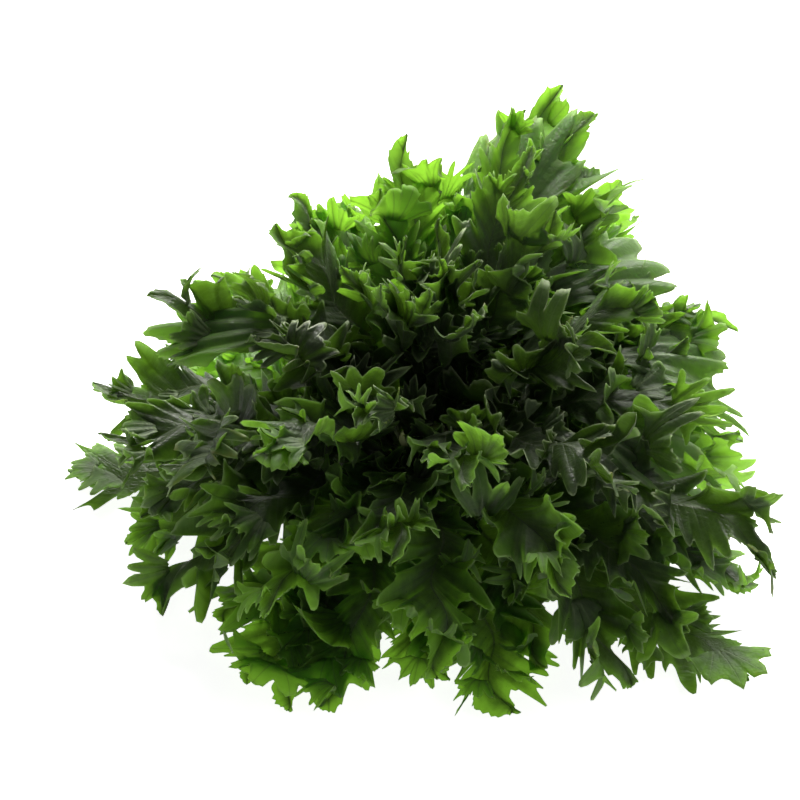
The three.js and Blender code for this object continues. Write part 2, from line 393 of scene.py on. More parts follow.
# Where leaf i of the spiral stands and how it grows: its foot on the dome, its rise, length and reach. A
# leaf between two of the spiral has a broken i and an index of its own.
def spiralLeaf(i, index, turn=None, g=growth):

    def differing(trait):
        return spread(i, draws[trait], g["differ"][trait])

    t = i / (g["leaves"] - 1)
    if turn is None:
        turn = g["start"] + g["golden"] * i + differing("turn")
    low, high = (math.cos(math.radians(a)) for a in g["footPolar"])
    polar = math.acos(low + (high - low) * t)
    a = math.radians(turn)
    back = math.sin(a)
    grown = t ** g["risePower"]
    start = between(g["startRise"], grown) + g["backLean"][0] * back
    lean = abs(math.sin(math.radians(start) - (math.pi / 2 - polar)))
    out = crown["radius"] + crown["gap"] + g["footThickness"] / 2 * lean
    away = out * math.sin(polar)
    return {
        "index": index,
        "share": t,
        "turn": turn,
        "foot": (away * math.cos(a), away * math.sin(a), crown["height"] + out * math.cos(polar)),
        "startRise": start,
        "endRise": between(g["endRise"], grown) + g["backLean"][1] * back + differing("endRise"),
        "length": between(g["length"], t) * towards(turn, reachBumps) * (1 + differing("length")),
        "reach": between(g["reach"], t) * (1 + differing("reach")),
        "petiole": g["petiole"],
        "lobes": lobe["outer"] if t < 0.5 else lobe["inner"],
        "sway": differing("sway"),
        "twist": differing("twist"),
        "curl": between(g["curlShare"], t),
        "closest": g["closest"],
        "frills": frill["perLeaf"],
        "frillSize": towards(turn, frill["bumps"]),
        "bloom": towards(turn, bloomBumps) - 1,
        # painted light or shade by the leaf's direction round the head
        "paintedLight": towards(turn, paintedLightBumps) - 1,
    }


# How far a lobe rolls on one side, in radians: neighbours roll opposite ways, and a half number is the mean
# of two.
def rollOf(leaf, number, side):

    def at(i):
        way = 1 if (i + (0 if side > 0 else 1) + leaf["index"]) % 2 else -1
        drawn = chance(leaf["index"], draws["lobeCurl"] + i * 2 + side)
        share = lobe["curlLeast"] + (1 - lobe["curlLeast"]) * drawn
        return lobe["curlMean"] + way * lobe["curlSwing"] * leaf["curl"] * share

    i = math.floor(number)
    return at(i) if number == i else (at(i) + at(i + 1)) / 2


# The side veins of a leaf, from foot to tip: place on the midrib, angle, reach, lobe number, fixed or not.
# A lobe's reach grows from the first one to the last along a parabola.
def keyVeins(leaf):
    rows = [(place, angle, leaf["petiole"] * part, 0, 1) for place, angle, part in lobe["stalk"]]
    count = leaf["lobes"]
    span = (lobe["to"] - lobe["from"]) / count
    for i in range(count):
        share = i / max(1, count - 1)
        angle = between(lobe["angle"], share)
        reach = leaf["reach"] * (1 - (1 - lobe["first"]) * (1 - share) ** 2)
        for place, more, part, half in lobe["veins"]:
            rows.append((lobe["from"] + span * (i + place), angle + more, reach * part, i + half, 0))
    end = leaf["reach"] * lobe["tipReach"]
    tip = lobe["tipFrom"] + end / leaf["length"]  # where the very tip lies, as a share of the midrib
    start = lobe["tipVeinsFrom"]
    for place, angle, part in lobe["tip"]:
        rows.append((start + (tip - start) * place, angle, end * part, count, 0))
    return rows


# Values between the keys by a cubic curve through them: each key's slope is half the step between its
# neighbours.
def splined(keys, u):
    keys = np.asarray(keys, float)
    i = np.clip(np.floor(u).astype(int), 0, len(keys) - 2)
    f = u - i
    before, a, b = keys[np.maximum(i - 1, 0)], keys[i], keys[i + 1]
    after = keys[np.minimum(i + 2, len(keys) - 1)]
    m0, m1 = (b - before) / 2, (after - a) / 2
    values = (2 * f**3 - 3 * f**2 + 1) * a + (f**3 - 2 * f**2 + f) * m0
    return values + (3 * f**2 - 2 * f**3) * b + (f**3 - f**2) * m1


# Two directions turned within their plane by an angle in radians.
def turnedBy(a, b, angle):
    c, n = np.cos(angle), np.sin(angle)
    return a * c + b * n, b * c - a * n


# Forward, sideways and up for a heading and a rise in radians; up is the cross product of the other two.
def threeWays(heading, rise):
    forward = np.stack([np.cos(rise) * np.cos(heading), np.cos(rise) * np.sin(heading), np.sin(rise)], -1)
    side = np.stack([-np.sin(heading), np.cos(heading), 0 * heading], -1)
    return forward, side, np.cross(forward, side)


# Points and directions of the midrib at the shares t. The rise goes from start to end by a power of t, the
# heading sways by its square, and the blade twists evenly and then more, by its cube. Past tipFrom the
# midrib runs on along an arc of the tip's own roll, and a sine wave moves it up and down and sideways.
def midribFrame(leaf, t):
    steps = 48
    endTwist = spread(leaf["index"], draws["endTwist"], fine["endTwist"])

    def directions(s):
        rises = (leaf["startRise"], leaf["endRise"])
        rise = np.radians(between(rises, s ** growth["archPower"]))
        along, side, up = threeWays(np.radians(leaf["turn"] + leaf["sway"] * s * s), rise)
        return rise, along, *turnedBy(side, up, np.radians(leaf["twist"] * s + endTwist * s**3)[:, None])

    even = np.arange(steps + 1) / steps
    along = directions(even)[1]
    walked = np.vstack([np.zeros(3), np.cumsum(along[:-1], 0)])
    points = np.array(leaf["foot"]) + walked * leaf["length"] / steps
    s = np.minimum(t, lobe["tipFrom"])
    at = np.stack([np.interp(s, even, points[:, k]) for k in range(3)], -1)
    rise, along, side, up = directions(s)
    bend = np.sin(rise) / np.maximum(leaf["closest"], np.hypot(at[:, 0], at[:, 1]))
    past = np.maximum(0, t - lobe["tipFrom"]) * leaf["length"]
    end = leaf["reach"] * lobe["tipReach"]
    rolled = rollOf(leaf, leaf["lobes"], 1) * lobe["tipRoll"]
    turned, curve = rolled * past / end, rolled / end
    at = at + along * (np.sin(turned) / curve)[:, None] + up * ((1 - np.cos(turned)) / curve)[:, None]
    high, start, over, pace = fine["wave"]
    grown = high * np.clip((t - start) / over, 0, 1) * leaf["curl"]
    for axis, trait in ((up, "waveUp"), (side, "waveSide")):
        wave = np.sin(pace * t + fullTurn * chance(leaf["index"], draws[trait]))
        at = at + axis * (grown * wave)[:, None]
    along, up = turnedBy(along, up, turned[:, None])
    return at, along, side, up, bend


# The rows of a leaf, counted in veins, with a few even steps from each vein to the next.
def rowPlaces(leaf, count):
    per = fine["rowsPerVein"]
    body = "outer" if leaf["lobes"] == lobe["outer"] else "inner"
    parts = []
    for k in range(count - 1):
        part = "stalk" if k < len(lobe["stalk"]) - 1 else "tip" if k >= count - len(lobe["tip"]) else body
        parts.append(k + np.arange(per[part]) / per[part])
    return np.concatenate(parts + [[count - 1.0]])


# Each row's own place in its lobe, 0 at the notch before it and 1 at the notch after it, the lobe's number,
# and whether the row lies in a lobe at all.
def lobePlaces(leaf, u):
    inLobe = (u - (len(lobe["stalk"]) - 1)) / len(lobe["veins"])
    number = np.floor(inLobe)
    ending = (inLobe - leaf["lobes"]) / lobe["tipSpan"]
    w = np.where(number >= leaf["lobes"], ending, inLobe - number)
    return w, np.minimum(number, leaf["lobes"]), (inLobe > 0) & (w < 1)


# Reach, angle and roll of the rows on one side, splined from its veins, which each differ a little.
def sideRows(leaf, keys, u, way):
    reach, angle, roll = [], [], []
    for j, (_, degrees, far, name, still) in enumerate(keys):
        loose = 0 if still or j > len(keys) - len(lobe["tip"]) else 1
        vein = j * 2 + way
        differs = loose * spread(leaf["index"], draws["veinReach"] + vein, lobe["veinJitter"])
        reach.append(far * (1 + differs))
        angle.append(degrees + loose * spread(leaf["index"], draws["veinAngle"] + vein, lobe["angleJitter"]))
        roll.append(0 if still else rollOf(leaf, name, way))
    return splined(reach, u), np.radians(splined(angle, u)), splined(roll, u)


# How the fingers of a lobe shape its rows: the share by which each row is cut short, and how far it rolls in
# radians. Each finger is a bell-shaped bump round its middle, and each notch a flat-topped bell between two.
def cutFingers(index, way, w, number):
    seed = index * sideStep["fingers"] + way

    def drawn(trait, at):
        return chance(seed, draws[trait] + at)

    def drawnSpread(trait, at, size):
        return spread(seed, draws[trait] + at, size)

    count = len(fine["fingers"])
    cut, rolled, turned, longer = (np.zeros_like(w) for _ in range(4))
    for k, centre in enumerate(fine["fingers"]):
        at = number * count + k
        bell = np.exp(-(((w - centre) / fine["fingerWidth"]) ** 2))
        same = drawn("fingerWay", at) > fine["sameWay"]
        sign = np.where((number + k + index + same) % 2 >= 1, 1, -1)
        rolled += sign * between(fine["fingerRoll"], drawn("fingerRoll", at)) * bell
        longer += drawnSpread("fingerLength", at, fine["fingerLength"]) * bell
        turned += drawnSpread("fingerTwist", at, fine["fingerTwist"]) * bell * (w - centre) * count
        if k:
            notch = (centre + fine["fingers"][k - 1]) / 2
            off = w - (notch + drawnSpread("sinusPlace", at, fine["sinusShift"]))
            depth = between(fine["sinusDepth"], drawn("sinusDepth", at))
            cut += depth * np.exp(-(np.abs(off / fine["sinusWidth"]) ** fine["sinusPower"]))
    lobeLonger = drawnSpread("lobeLength", number, fine["lobeVaries"])
    longer += lobeLonger * np.sin(np.pi * np.clip(w, 0, 1))
    more, place, width = fine["blunt"]
    longer += more * np.exp(-(((w - place) / width) ** 2))
    return cut - longer, rolled + turned


# Teeth along an edge: a share of its points stand out, by a base and a part that grows with their chance.
def teeth(f, drawn):
    base, more = f["toothSize"]
    return np.where(drawn < f["toothShare"], f["tooth"] * (base + more * drawn), 0)


# One side of the blade as points, millimetres from the midrib, share of the way across and distance from a
# vein. Each row is an arc that starts at the midrib, leans forward by its angle, is as long as its reach and
# bends by its roll, and fingers, ripple and roll grow with the square of the way across.
def bladeSide(leaf, keys, u, midrib, way):
    at, along, side, up, bend = midrib
    reach, angle, rolled = sideRows(leaf, keys, u, way)
    w, number, lobed = lobePlaces(leaf, u)
    cut, finger = cutFingers(leaf["index"], way, w, number)
    gain, least = fine["shallow"]
    cut = np.where(lobed, cut, 0) * np.clip(reach / growth["reach"][0] * gain, least, 1)
    finger = np.where(lobed, finger, 0)
    fixed = np.interp(u, range(len(keys)), [key[4] for key in keys])
    bare, over = fine["toothReach"]
    drawn = chance(leaf["index"] * sideStep["teeth"] + way, draws["tooth"] + np.arange(len(u)))
    tooth = np.where(fixed < fine["looseBelow"], teeth(fine, drawn), 0)
    length = reach * (1 - cut) + tooth * np.clip((reach - bare) / over, 0, 1)
    free = np.clip(at[:, 2] / growth["pressedBelow"], growth["lyingRoll"], 1)
    phase = u * 2 * math.pi / fine["rippleVeins"] + fullTurn * chance(leaf["index"], draws["ripple"] + way)
    even = fixed * growth["petioleRoll"] + (1 - fixed) * reach * np.sin(angle) * bend
    late = (1 - fixed) * (fine["tipCurl"] * rolled * free + finger * free + fine["ripple"] * np.sin(phase))
    a = np.array(fine["across"])[None, :]
    lean = even[:, None] * a + late[:, None] * a**2
    middle = (lean[:, 1:] + lean[:, :-1]) / 2
    steps = length[:, None] * np.diff(a)
    zero = np.zeros((len(u), 1))
    out = np.concatenate([zero, np.cumsum(np.cos(middle) * steps, 1)], 1)
    lift = np.concatenate([zero, np.cumsum(np.sin(middle) * steps, 1)], 1)
    inFinger = 0.5 + np.min([np.abs(w - c) for c in fine["fingers"]], 0) / fine["fingerPitch"]
    gutter = np.where(lobed, np.cos(inFinger * 2 * math.pi), 0) * fine["gutter"]
    lift = lift + gutter[:, None] * a
    points = (
        at[:, None, :]
        + along[:, None, :] * (np.cos(angle)[:, None] * out)[..., None]
        + side[:, None, :] * (way * np.sin(angle)[:, None] * out)[..., None]
        + up[:, None, :] * lift[..., None]
    )
    offVein = np.where(lobed, (inFinger - 0.5) * fine["fingerPitch"], fine["bareVein"])
    return points, length[:, None] * a, a + 0 * length[:, None], offVein[:, None] + 0 * a


# The blade as a grid of rows (along the side veins) by columns (across), its two sides joined at the midrib,
# with the values that the material reads and the blade laid out flat for its patterns.
def leafSurface(leaf):
    keys = keyVeins(leaf)
    u = rowPlaces(leaf, len(keys))
    t = splined([key[0] for key in keys], u)
    midrib = midribFrame(leaf, t)
    sides = [bladeSide(leaf, keys, u, midrib, way) for way in (-1, 1)]
    grid, far, edge, offVein = (np.concatenate([a[:, ::-1], b[:, 1:]], 1) for a, b in zip(*sides))
    grid[..., 2] = pressed(grid[..., 2])
    spacing = np.linalg.norm(np.gradient(grid, axis=0), axis=-1) / np.gradient(u)[:, None]
    values = {
        "rib": far,  # millimetres from the midrib
        "edge": edge,  # 0 at the midrib, 1 at the edge
        "vein": offVein * spacing * len(lobe["veins"]),  # millimetres from the nearest side vein
        "run": t[:, None] + 0 * far,
        "fan": u[:, None] * fine["finePerVein"] + 0 * far,  # a whole number at each fine vein
    }
    half = np.array(fine["across"])
    way = np.sign(np.concatenate([-half[::-1], half[1:]]))[None, :]
    shear, step = fine["flat"]
    flat = [way * far, t[:, None] * leaf["length"] + shear * far, 0 * far + leaf["index"] * step]
    return grid, values, np.stack(flat, -1)


# A closed thin solid round a grid of points: one copy pushed along the normals, one against them, and a rim
# round the four borders. The normal is the cross product of the grid's two directions.
def closedSheet(grid, above, below):
    rows, columns = grid.shape[:2]
    normal = np.cross(np.gradient(grid, axis=0), np.gradient(grid, axis=1))
    length = np.linalg.norm(normal, axis=-1, keepdims=True)
    normal = normal / np.maximum(length, 1e-9)
    top = grid + normal * above[..., None]
    bottom = grid - normal * below[..., None]
    index = np.arange(rows * columns).reshape(rows, columns)
    a, b, c, d = index[:-1, :-1], index[1:, :-1], index[1:, 1:], index[:-1, 1:]
    quads = np.stack([a, b, c, d], -1).reshape(-1, 4)
    half = rows * columns
    loop = np.concatenate([index[:-1, 0], index[-1, :-1], index[:0:-1, -1], index[0, :0:-1]])
    after = np.roll(loop, -1)
    rim = np.stack([loop, loop + half, after + half, after], -1)
    points = np.concatenate([top.reshape(-1, 3), bottom.reshape(-1, 3)])
    return points, np.concatenate([quads, quads[:, ::-1] + half, rim])


# A sheet as points, faces and the values that the material reads. Its thickness falls with the cube of the
# way to the edge, and rib is how far the midrib stands proud.
def solidSheet(leaf, grid, values, flat, rib):
    blade = between((fine["bladeHalf"], fine["edgeHalf"]), values["edge"] ** 3)
    points, faces = closedSheet(grid, blade + fine["ribAbove"] * rib, blade + rib)
    points[:, 2] = np.maximum(points[:, 2], fine["edgeHalf"])
    doubled = {name: np.tile(v.ravel(), 2) for name, v in values.items()}
    doubled["under"] = np.repeat([0.0, 1.0], flat.shape[0] * flat.shape[1])
    # a random tone, plus the painted light or shade of the leaf's direction
    tint = chance(leaf["index"], draws["tint"]) + leaf["paintedLight"]
    for name, value in (("young", leaf["share"]), ("tint", tint), ("bloom", leaf["bloom"])):
        doubled[name] = np.full(len(points), value)
    return points, faces, doubled, np.tile(flat.reshape(-1, 3), (2, 1))


# Several (points, faces, values, flat) as one.
def joined(parts):
    start = np.cumsum([0] + [len(p[0]) for p in parts[:-1]])
    faces = np.concatenate([p[1] + s for p, s in zip(parts, start)])
    values = {k: np.concatenate([p[2][k] for p in parts]) for k in parts[0][2]}
    return np.concatenate([p[0] for p in parts]), faces, values, np.concatenate([p[3] for p in parts])


# Where a leaf's frills stand and how large they are
frill = {
    "perLeaf": 5,
    "perSmallLeaf": 3,
    "indexStep": 13,
    # where frills are smaller: direction in degrees, gain, spread
    "bumps": ((150, -0.65, 24), (275, -0.25, 22), (60, -0.55, 16)),
    "from": 0.34,  # share of the midrib
    "to": 0.97,
    "across": (0.3, 0.72),
    "outward": (0.5, 0.9),  # shares of the three directions in which it grows
    "ahead": (0.2, 1.0),
    "upright": (0.5, 1.1),
    "turn": 1.6,  # radians
    "sunk": 1.5,  # mm
    "reach": (16.0, 31.0),  # mm
    "flatLeafReach": 0.75,  # share of it on a leaf without curl
    "halfAngle": (50.0, 80.0),  # degrees
    "fingers": (4, 5, 6),
    "depth": (0.2, 0.38),
    "bend": (0.2, 1.4),  # radians
    "bendsBack": 0.3,  # share of them that bend the other way
}

# What the small frills' fans and the broad sheets have in common
fanRule = {
    "fingerWidth": (0.3, 0.42),  # share of the fan's share for one finger
    "fingerPower": 3,  # past 2 a finger has a blunt end
    "fingerShift": 0.05,  # share of the half angle
    "roundEnd": 0.25,  # share by which the outer rays are shorter
    "openAngle": (0.8, 0.2),  # share of the angle at the foot, and what the end adds
    "bendPower": 1.4,
    "leastBend": 1e-3,  # radians
    "toothShare": 0.24,
    "tooth": 2.0,  # mm
    "toothSize": (0.4, 3.0),
    "sidePhase": 3.0,
    "ribOff": 4.0,  # mm, so that a fan shows no midrib
    "edgeFrom": (0.35, 0.65),  # the edge value at the foot, and what the end adds
    "edgeAtSides": 0.6,
    "flatStep": 3.1,
}

frillFan = {
    "rays": 41,
    "rings": (0.1, 0.26, 0.44, 0.6, 0.75, 0.89, 1.0),
    "fingerVaries": 0.4,  # share of its reach
    "neckHalf": 3.6,  # mm
    "gutter": 0.5,  # mm
    "fingerLift": 0.5,
    "sideWave": 0.8,  # mm
    "sideWaves": 1.0,
    "finePerFinger": 3.0,
}


# The reach of each ray of a fan: it is cut between the fingers by flat-topped bells, varies from finger to
# finger, falls with the square of the way to the sides and has a tooth here and there.
def rayReach(f, index, ray, number, inside, shape):
    width = between(fanRule["fingerWidth"], chance(index, draws["fanWidth"] + number))
    finger = np.exp(-(np.abs((inside - 0.5) / width) ** fanRule["fingerPower"]))
    varied = 1 + spread(index, draws["fanFinger"] + number, f["fingerVaries"])
    depth = shape["depth"]
    reach = shape["reach"] * (1 - fanRule["roundEnd"] * ray**2) * (1 - depth + depth * finger * varied)
    return reach + teeth(fanRule, chance(index, draws["fanTooth"] + np.arange(len(ray))))


# A fan of rays from one point as a grid of rings by rays. It bends out of its plane as it goes, lifts each
# finger by itself, has a gutter along each finger and waves at its sides.
def fanSheet(f, index, base, axes, shape):
    main, cross, third = axes
    count, half = shape["fingers"], math.radians(shape["halfAngle"])
    ray = np.linspace(-1, 1, f["rays"])
    place = (ray + 1) / 2 * count
    number = np.minimum(np.floor(place), count - 1)
    inside = place - number
    ring = np.array(f["rings"])[:, None]
    far = ring * rayReach(f, index, ray, number, inside, shape)[None, :]
    least, more = fanRule["openAngle"]
    shifted = ray + spread(index, draws["fanShift"] + number, fanRule["fingerShift"])
    angle = (shifted * half)[None, :] * (least + more * ring)
    x = far * np.sin(angle) + f["neckHalf"] * ray[None, :] * (1 - ring)
    y = far * np.cos(angle)
    turned = shape["bend"] * (y / shape["reach"]) ** fanRule["bendPower"]
    turned = np.where(np.abs(turned) < fanRule["leastBend"], fanRule["leastBend"], turned)
    notch = np.abs(inside - 0.5) * 2
    lifted = spread(index, draws["fanLift"] + number, f["fingerLift"])
    lift = lifted[None, :] * (1 - notch**2)[None, :] * far * ring**2
    lift = lift + f["gutter"] * np.cos(inside * 2 * math.pi)[None, :] * ring
    aside = fanRule["sidePhase"] * np.sign(ray)[None, :] * chance(index, draws["fanWaveSide"])
    phase = fullTurn * chance(index, draws["fanWave"]) + aside
    wave = np.sin(f["sideWaves"] * 2 * math.pi * ring + phase)
    lift = lift + f["sideWave"] * np.abs(ray)[None, :] ** 3 * wave
    rolled = y * np.sin(turned) / turned
    raised = y * (1 - np.cos(turned)) / turned + lift
    fan = base + main * rolled[..., None] + cross * x[..., None] - third * raised[..., None]
    fan[..., 2] = pressed(fan[..., 2])
    foot, gain = fanRule["edgeFrom"]
    made = {
        "rib": np.abs(x) + fanRule["ribOff"],
        "edge": foot + gain * np.maximum(ring + 0 * x, fanRule["edgeAtSides"] * np.abs(ray)[None, :]),
        "vein": np.abs(inside - 0.5)[None, :] * far * 2 * half / count,
        "run": 0 * x + shape["run"],
        "fan": (place * f["finePerFinger"])[None, :] + 0 * x,
    }
    return fan, made, np.stack([x, y, 0 * x + index * fanRule["flatStep"]], -1)


# Frill k of a leaf, a fan that grows out of the blade at a place between midrib and edge. Its main direction
# is a sum of outward, ahead and the blade's normal, and it is turned about that direction.
def frillParts(leaf, grid, values, k):
    f = frill
    index = leaf["index"] * f["indexStep"] + k

    def draw(number):
        return chance(index, draws["frill"] + number)

    wanted = between((f["from"], f["to"]), (k + draw(1)) / leaf["frills"])
    way = 1 if k % 2 else -1
    rows, columns = grid.shape[:2]
    across = between(f["across"], draw(2)) * way
    column = min(max(int(round((across + 1) / 2 * (columns - 1))), 1), columns - 2)
    row = min(max(int(np.argmin(np.abs(values["run"][:, 0] - wanted))), 2), rows - 3)
    ahead = unit(grid[row + 2, column] - grid[row - 2, column])
    outward = unit((grid[row, column + 1] - grid[row, column - 1]) * way)
    normal = unit(np.cross(ahead, outward) * way)
    grows = outward * between(f["outward"], draw(4)) + ahead * between(f["ahead"], draw(5))
    main = unit(grows + normal * between(f["upright"], draw(3)))
    cross = unit(np.cross(main, normal))
    axes = (main, *turnedBy(cross, np.cross(cross, main), (draw(6) - 0.5) * f["turn"]))
    size = f["flatLeafReach"] + (1 - f["flatLeafReach"]) * leaf["curl"]
    shape = {
        "fingers": f["fingers"][int(draw(7) * len(f["fingers"]))],
        "halfAngle": between(f["halfAngle"], draw(8)),
        "depth": between(f["depth"], draw(9)),
        "reach": between(f["reach"], draw(10)) * size * leaf["frillSize"],
        "bend": between(f["bend"], draw(11)) * (1 if draw(12) > f["bendsBack"] else -1),
        "run": values["run"][row, 0],
    }
    return fanSheet(frillFan, index, grid[row, column] - main * f["sunk"], axes, shape)


# Leaves with their midribs, which taper and stand proud below by a bell-shaped rise, and with their frills,
# as one set of faces.
def leafParts(leaves):
    parts = []
    for leaf in leaves:
        grid, values, flat = leafSurface(leaf)
        run = np.clip(values["run"], 0, 1)
        bell = np.exp(-((values["rib"] / between(fine["ribWidth"], run)) ** 2))
        rib = between(fine["ribHeight"], run ** fine["ribPower"]) * bell
        parts.append(solidSheet(leaf, grid, values, flat, rib))
        for k in range(leaf["frills"]):
            fan, made, spot = frillParts(leaf, grid, values, k)
            parts.append(solidSheet(leaf, fan, made, spot, 0 * made["rib"]))
    points, faces, values, flat = joined(parts)
    return points, (faces,), values, flat


def makePiece(name, points, faces, values, flat, material, node, slot):
    sizes = np.concatenate([np.full(len(f), f.shape[1]) for f in faces])
    corners = np.concatenate([f.ravel() for f in faces])
    mesh = bpy.data.meshes.new(name)
    mesh.vertices.add(len(points))
    mesh.vertices.foreach_set("co", (points * millimetre).astype(np.float32).ravel())
    mesh.loops.add(len(corners))
    mesh.loops.foreach_set("vertex_index", corners.astype(np.int32))
    mesh.polygons.add(len(sizes))
    mesh.polygons.foreach_set("loop_start", (np.cumsum(sizes) - sizes).astype(np.int32))
    mesh.polygons.foreach_set("loop_total", sizes.astype(np.int32))
    mesh.update(calc_edges=True)
    mesh.validate()
    mesh.shade_smooth()
    for key, value in values.items():
        made = mesh.attributes.new(key, "FLOAT", "POINT")
        made.data.foreach_set("value", value.astype(np.float32))
    made = mesh.attributes.new("flat", "FLOAT_VECTOR", "POINT")
    made.data.foreach_set("vector", flat.astype(np.float32).ravel())
    mesh.materials.append(material)
    piece = bpy.data.objects.new(name, mesh)
    bpy.context.scene.collection.objects.link(piece)
    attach(piece, "root")
    if node:
        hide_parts(node)


# Leaf material

leafFinish = {
    # the darkest green is painted shade, by the midrib and on the young leaves of the centre, and also the
    # random mottle
    "shadeAndMottle": (0.024, 0.033, 0.019, 1),
    "green": (0.063, 0.118, 0.033, 1),
    # a lighter green and a yellow-green that are painted light, on the lit rims and ends of the lobes
    "paintedLight": (0.145, 0.25, 0.06, 1),
    "litYellow": (0.29, 0.37, 0.095, 1),
    "under": (0.105, 0.155, 0.075, 1),
    "grey": (0.13, 0.165, 0.108, 1),
    "vein": (0.18, 0.24, 0.11, 1),
    "rib": (0.2, 0.25, 0.125, 1),
    "pale": (0.4, 0.47, 0.27, 1),
    "brown": (0.16, 0.085, 0.025, 1),
    "soil": (0.012, 0.01, 0.006, 1),
    "through": (0.55, 0.82, 0.2, 1),
    "roughness": (0.38, 0.6),
    "specular": 0.24,
    "throughShare": 0.66,
    "grains": {"broad": 0.035, "middle": 0.16, "small": 0.9, "specks": 0.75},  # patterns' scales, 1 over mm
    "cells": 0.34,  # scale of the net of fine veins
    "bump": (0.55, 0.0009),  # strength, depth in metres
    # how strongly each mark covers the green
    "cover": {
        # the yellow-green is painted light on the lit rims
        "litYellow": 0.55,
        "mottle": 0.22,
        "under": 0.35,
        "net": 0.16,
        "edge": 0.5,
        "brown": 0.85,
        "soil": 0.9,
    },
}


# Green from painted shade, dark by the midrib, at the stalk and on the young leaves of the centre, to
# painted light, yellow-green at the lobes' edges and ends, with random mottle, pale ribs and veins, a net of
# fine veins between them, a greyer underside, brown tips and specks of soil. Light comes through the blade,
# less through its ribs and veins. Each mark is an S-curve of a distance, of an attribute or of noise.
def leafMaterial(name, f):
    s = Shader(name)
    rib, edge, vein, run = (s.attribute(n) for n in ("rib", "edge", "vein", "run"))
    under, young, tint, bloom, fan = (s.attribute(n) for n in ("under", "young", "tint", "bloom", "fan"))
    flat, grains, cover = s.attribute("flat", "Vector"), f["grains"], f["cover"]
    broad = s.noise(flat, grains["broad"], 2.0)
    middle = s.noise(flat, grains["middle"])
    small = s.noise(flat, grains["small"])
    values = {"Vector": flat, "Scale": f["cells"], "Randomness": 0.9}
    cells = s.node("ShaderNodeTexVoronoi", {"feature": "DISTANCE_TO_EDGE"}, values)["Distance"]
    net = cells.smooth(0.09, 0.0)
    veinLine = (vein / (1.0 - 0.6 * edge)).smooth(0.75, 0.15)
    ribLine = (rib / (1.9 - 1.4 * run)).smooth(1.0, 0.45)
    # painted light and shade: darker by the midrib, at the stalk and on the young leaves of the centre,
    # lighter towards the edges and ends, with a random tone
    grown = edge * 0.75 + run * 0.35 - young * 0.44
    outward = (grown + (middle - 0.5) * 0.6 + (tint - 0.5) * 0.3).smooth(0.15, 1.05)
    # where painted light turns the rims yellow-green
    lit = (outward + (broad - 0.5) * 0.8).smooth(0.85, 1.25)
    waxy = ((broad + (tint - 0.5) * 0.7).smooth(0.5, 0.8) * 0.24 + bloom * (0.35 + 0.3 * broad)).clamp()
    fanLine = (fan + (middle - 0.5) * 0.8).math("PINGPONG", 0.5).smooth(0.22, 0.02) * small.smooth(0.25, 0.6)
    brown = (edge.smooth(0.86, 1.0) * run.smooth(0.45, 1.0) * (broad + middle).smooth(1.12, 1.3)).clamp()
    specks = s.noise(s.scaled(flat, (1, 1, 3)), grains["specks"], 1.0)
    soil = specks.smooth(0.735, 0.76) * broad.smooth(0.5, 0.62) * (1 - young).smooth(0.25, 0.8)
    color = s.layered(
        f,
        # painted shade as the darkest green, then painted light as a lighter green and yellow-green
        "shadeAndMottle",
        (outward.smooth(0.0, 0.55), "green"),
        (outward.smooth(0.4, 1.0), "paintedLight"),
        (lit * cover["litYellow"], "litYellow"),
        ((small - 0.5).smooth(-0.1, 0.25) * cover["mottle"], "shadeAndMottle"),
        (waxy, "grey"),
        (fanLine * (0.18 + 0.45 * waxy), "vein"),
        (under * cover["under"], "under"),
        (net * cover["net"], "vein"),
        (veinLine * (0.42 + 0.2 * under), "vein"),
        (ribLine * (0.85 - 0.6 * run), "rib"),
        (edge.smooth(0.93, 1.0) * cover["edge"], "pale"),
        (brown * cover["brown"], "brown"),
        (soil * cover["soil"], "soil"),
    )
    height = cells.smooth(0.0, 0.3) * 0.35 + middle * 0.5 + small * 0.18 - veinLine * 0.25
    rough = between(f["roughness"], (small * 0.5 + under * 0.6).clamp())
    values = {"Base Color": color, "Roughness": rough, "Normal": s.bump(f["bump"], height)}
    values["Specular IOR Level"] = f["specular"]
    body = s.node("ShaderNodeBsdfPrincipled", {}, values)["BSDF"]
    through = s.node("ShaderNodeBsdfTranslucent", {}, {"Color": f["through"]})["BSDF"]
    share = f["throughShare"] * (1 - 0.7 * ribLine) * (1 - 0.35 * veinLine)
    share = share * (1 - soil) * (0.35 + 0.65 * outward)
    mixed = s.node("ShaderNodeMixShader", {}, {0: share, 1: body, 2: through})["Shader"]
    return s.finish(mixed)


greenLeaf = leafMaterial("green_leaf", leafFinish)
print("leaf material made")

for i in range(growth["leaves"]):
    node = f"leaf_{i + 1:02d}"
    makePiece(f"curly_{node}", *leafParts([spiralLeaf(i, i)]), greenLeaf, node, "leaf")
print("leaves made:", growth["leaves"])

# Smaller leaves that stand between those of the solids and close the mop, and a few single ones with a
# direction, length and reach of their own
smallLeaves = {
    "count": 24,
    "from": 1.5,
    "step": 1.8,
    "length": (0.86, 0.98),
    "reach": 0.85,
    # where they are shorter: direction in degrees, gain, spread
    "bumps": ((159, -0.3, 12), (182, -0.12, 8), (271, -0.2, 12), (294, -0.15, 10), (46, -0.2, 8)),
}
# place in the spiral, direction in degrees, length and reach in millimetres, how much waxy bloom from 0 to 1
loneLeaves = (
    (33.5, 57, 158, 36, 1.0),
    (40.5, 97, 131, 28, 0.0),
    (23.5, 18, 142, 27, 0.8),
    (21.5, 12, 122, 26, 0.8),
    (3.5, 267, 114, 26, 0.0),
    (2.2, 243, 151, 27, 0.0),
    (4.1, 222, 118, 25, 0.0),
    (36.5, 68, 152, 26, 0.3),
    (31.0, 123, 124, 22, 0.0),
    (5.2, 338, 156, 26, 0.0),
)


# A leaf with fewer lobes and frills than the lowest ones have
def makeSmallLeaf(name, leaf):
    leaf["lobes"] = lobe["inner"]
    leaf["frills"] = frill["perSmallLeaf"]
    makePiece(name, *leafParts([leaf]), greenLeaf, None, "leaf")


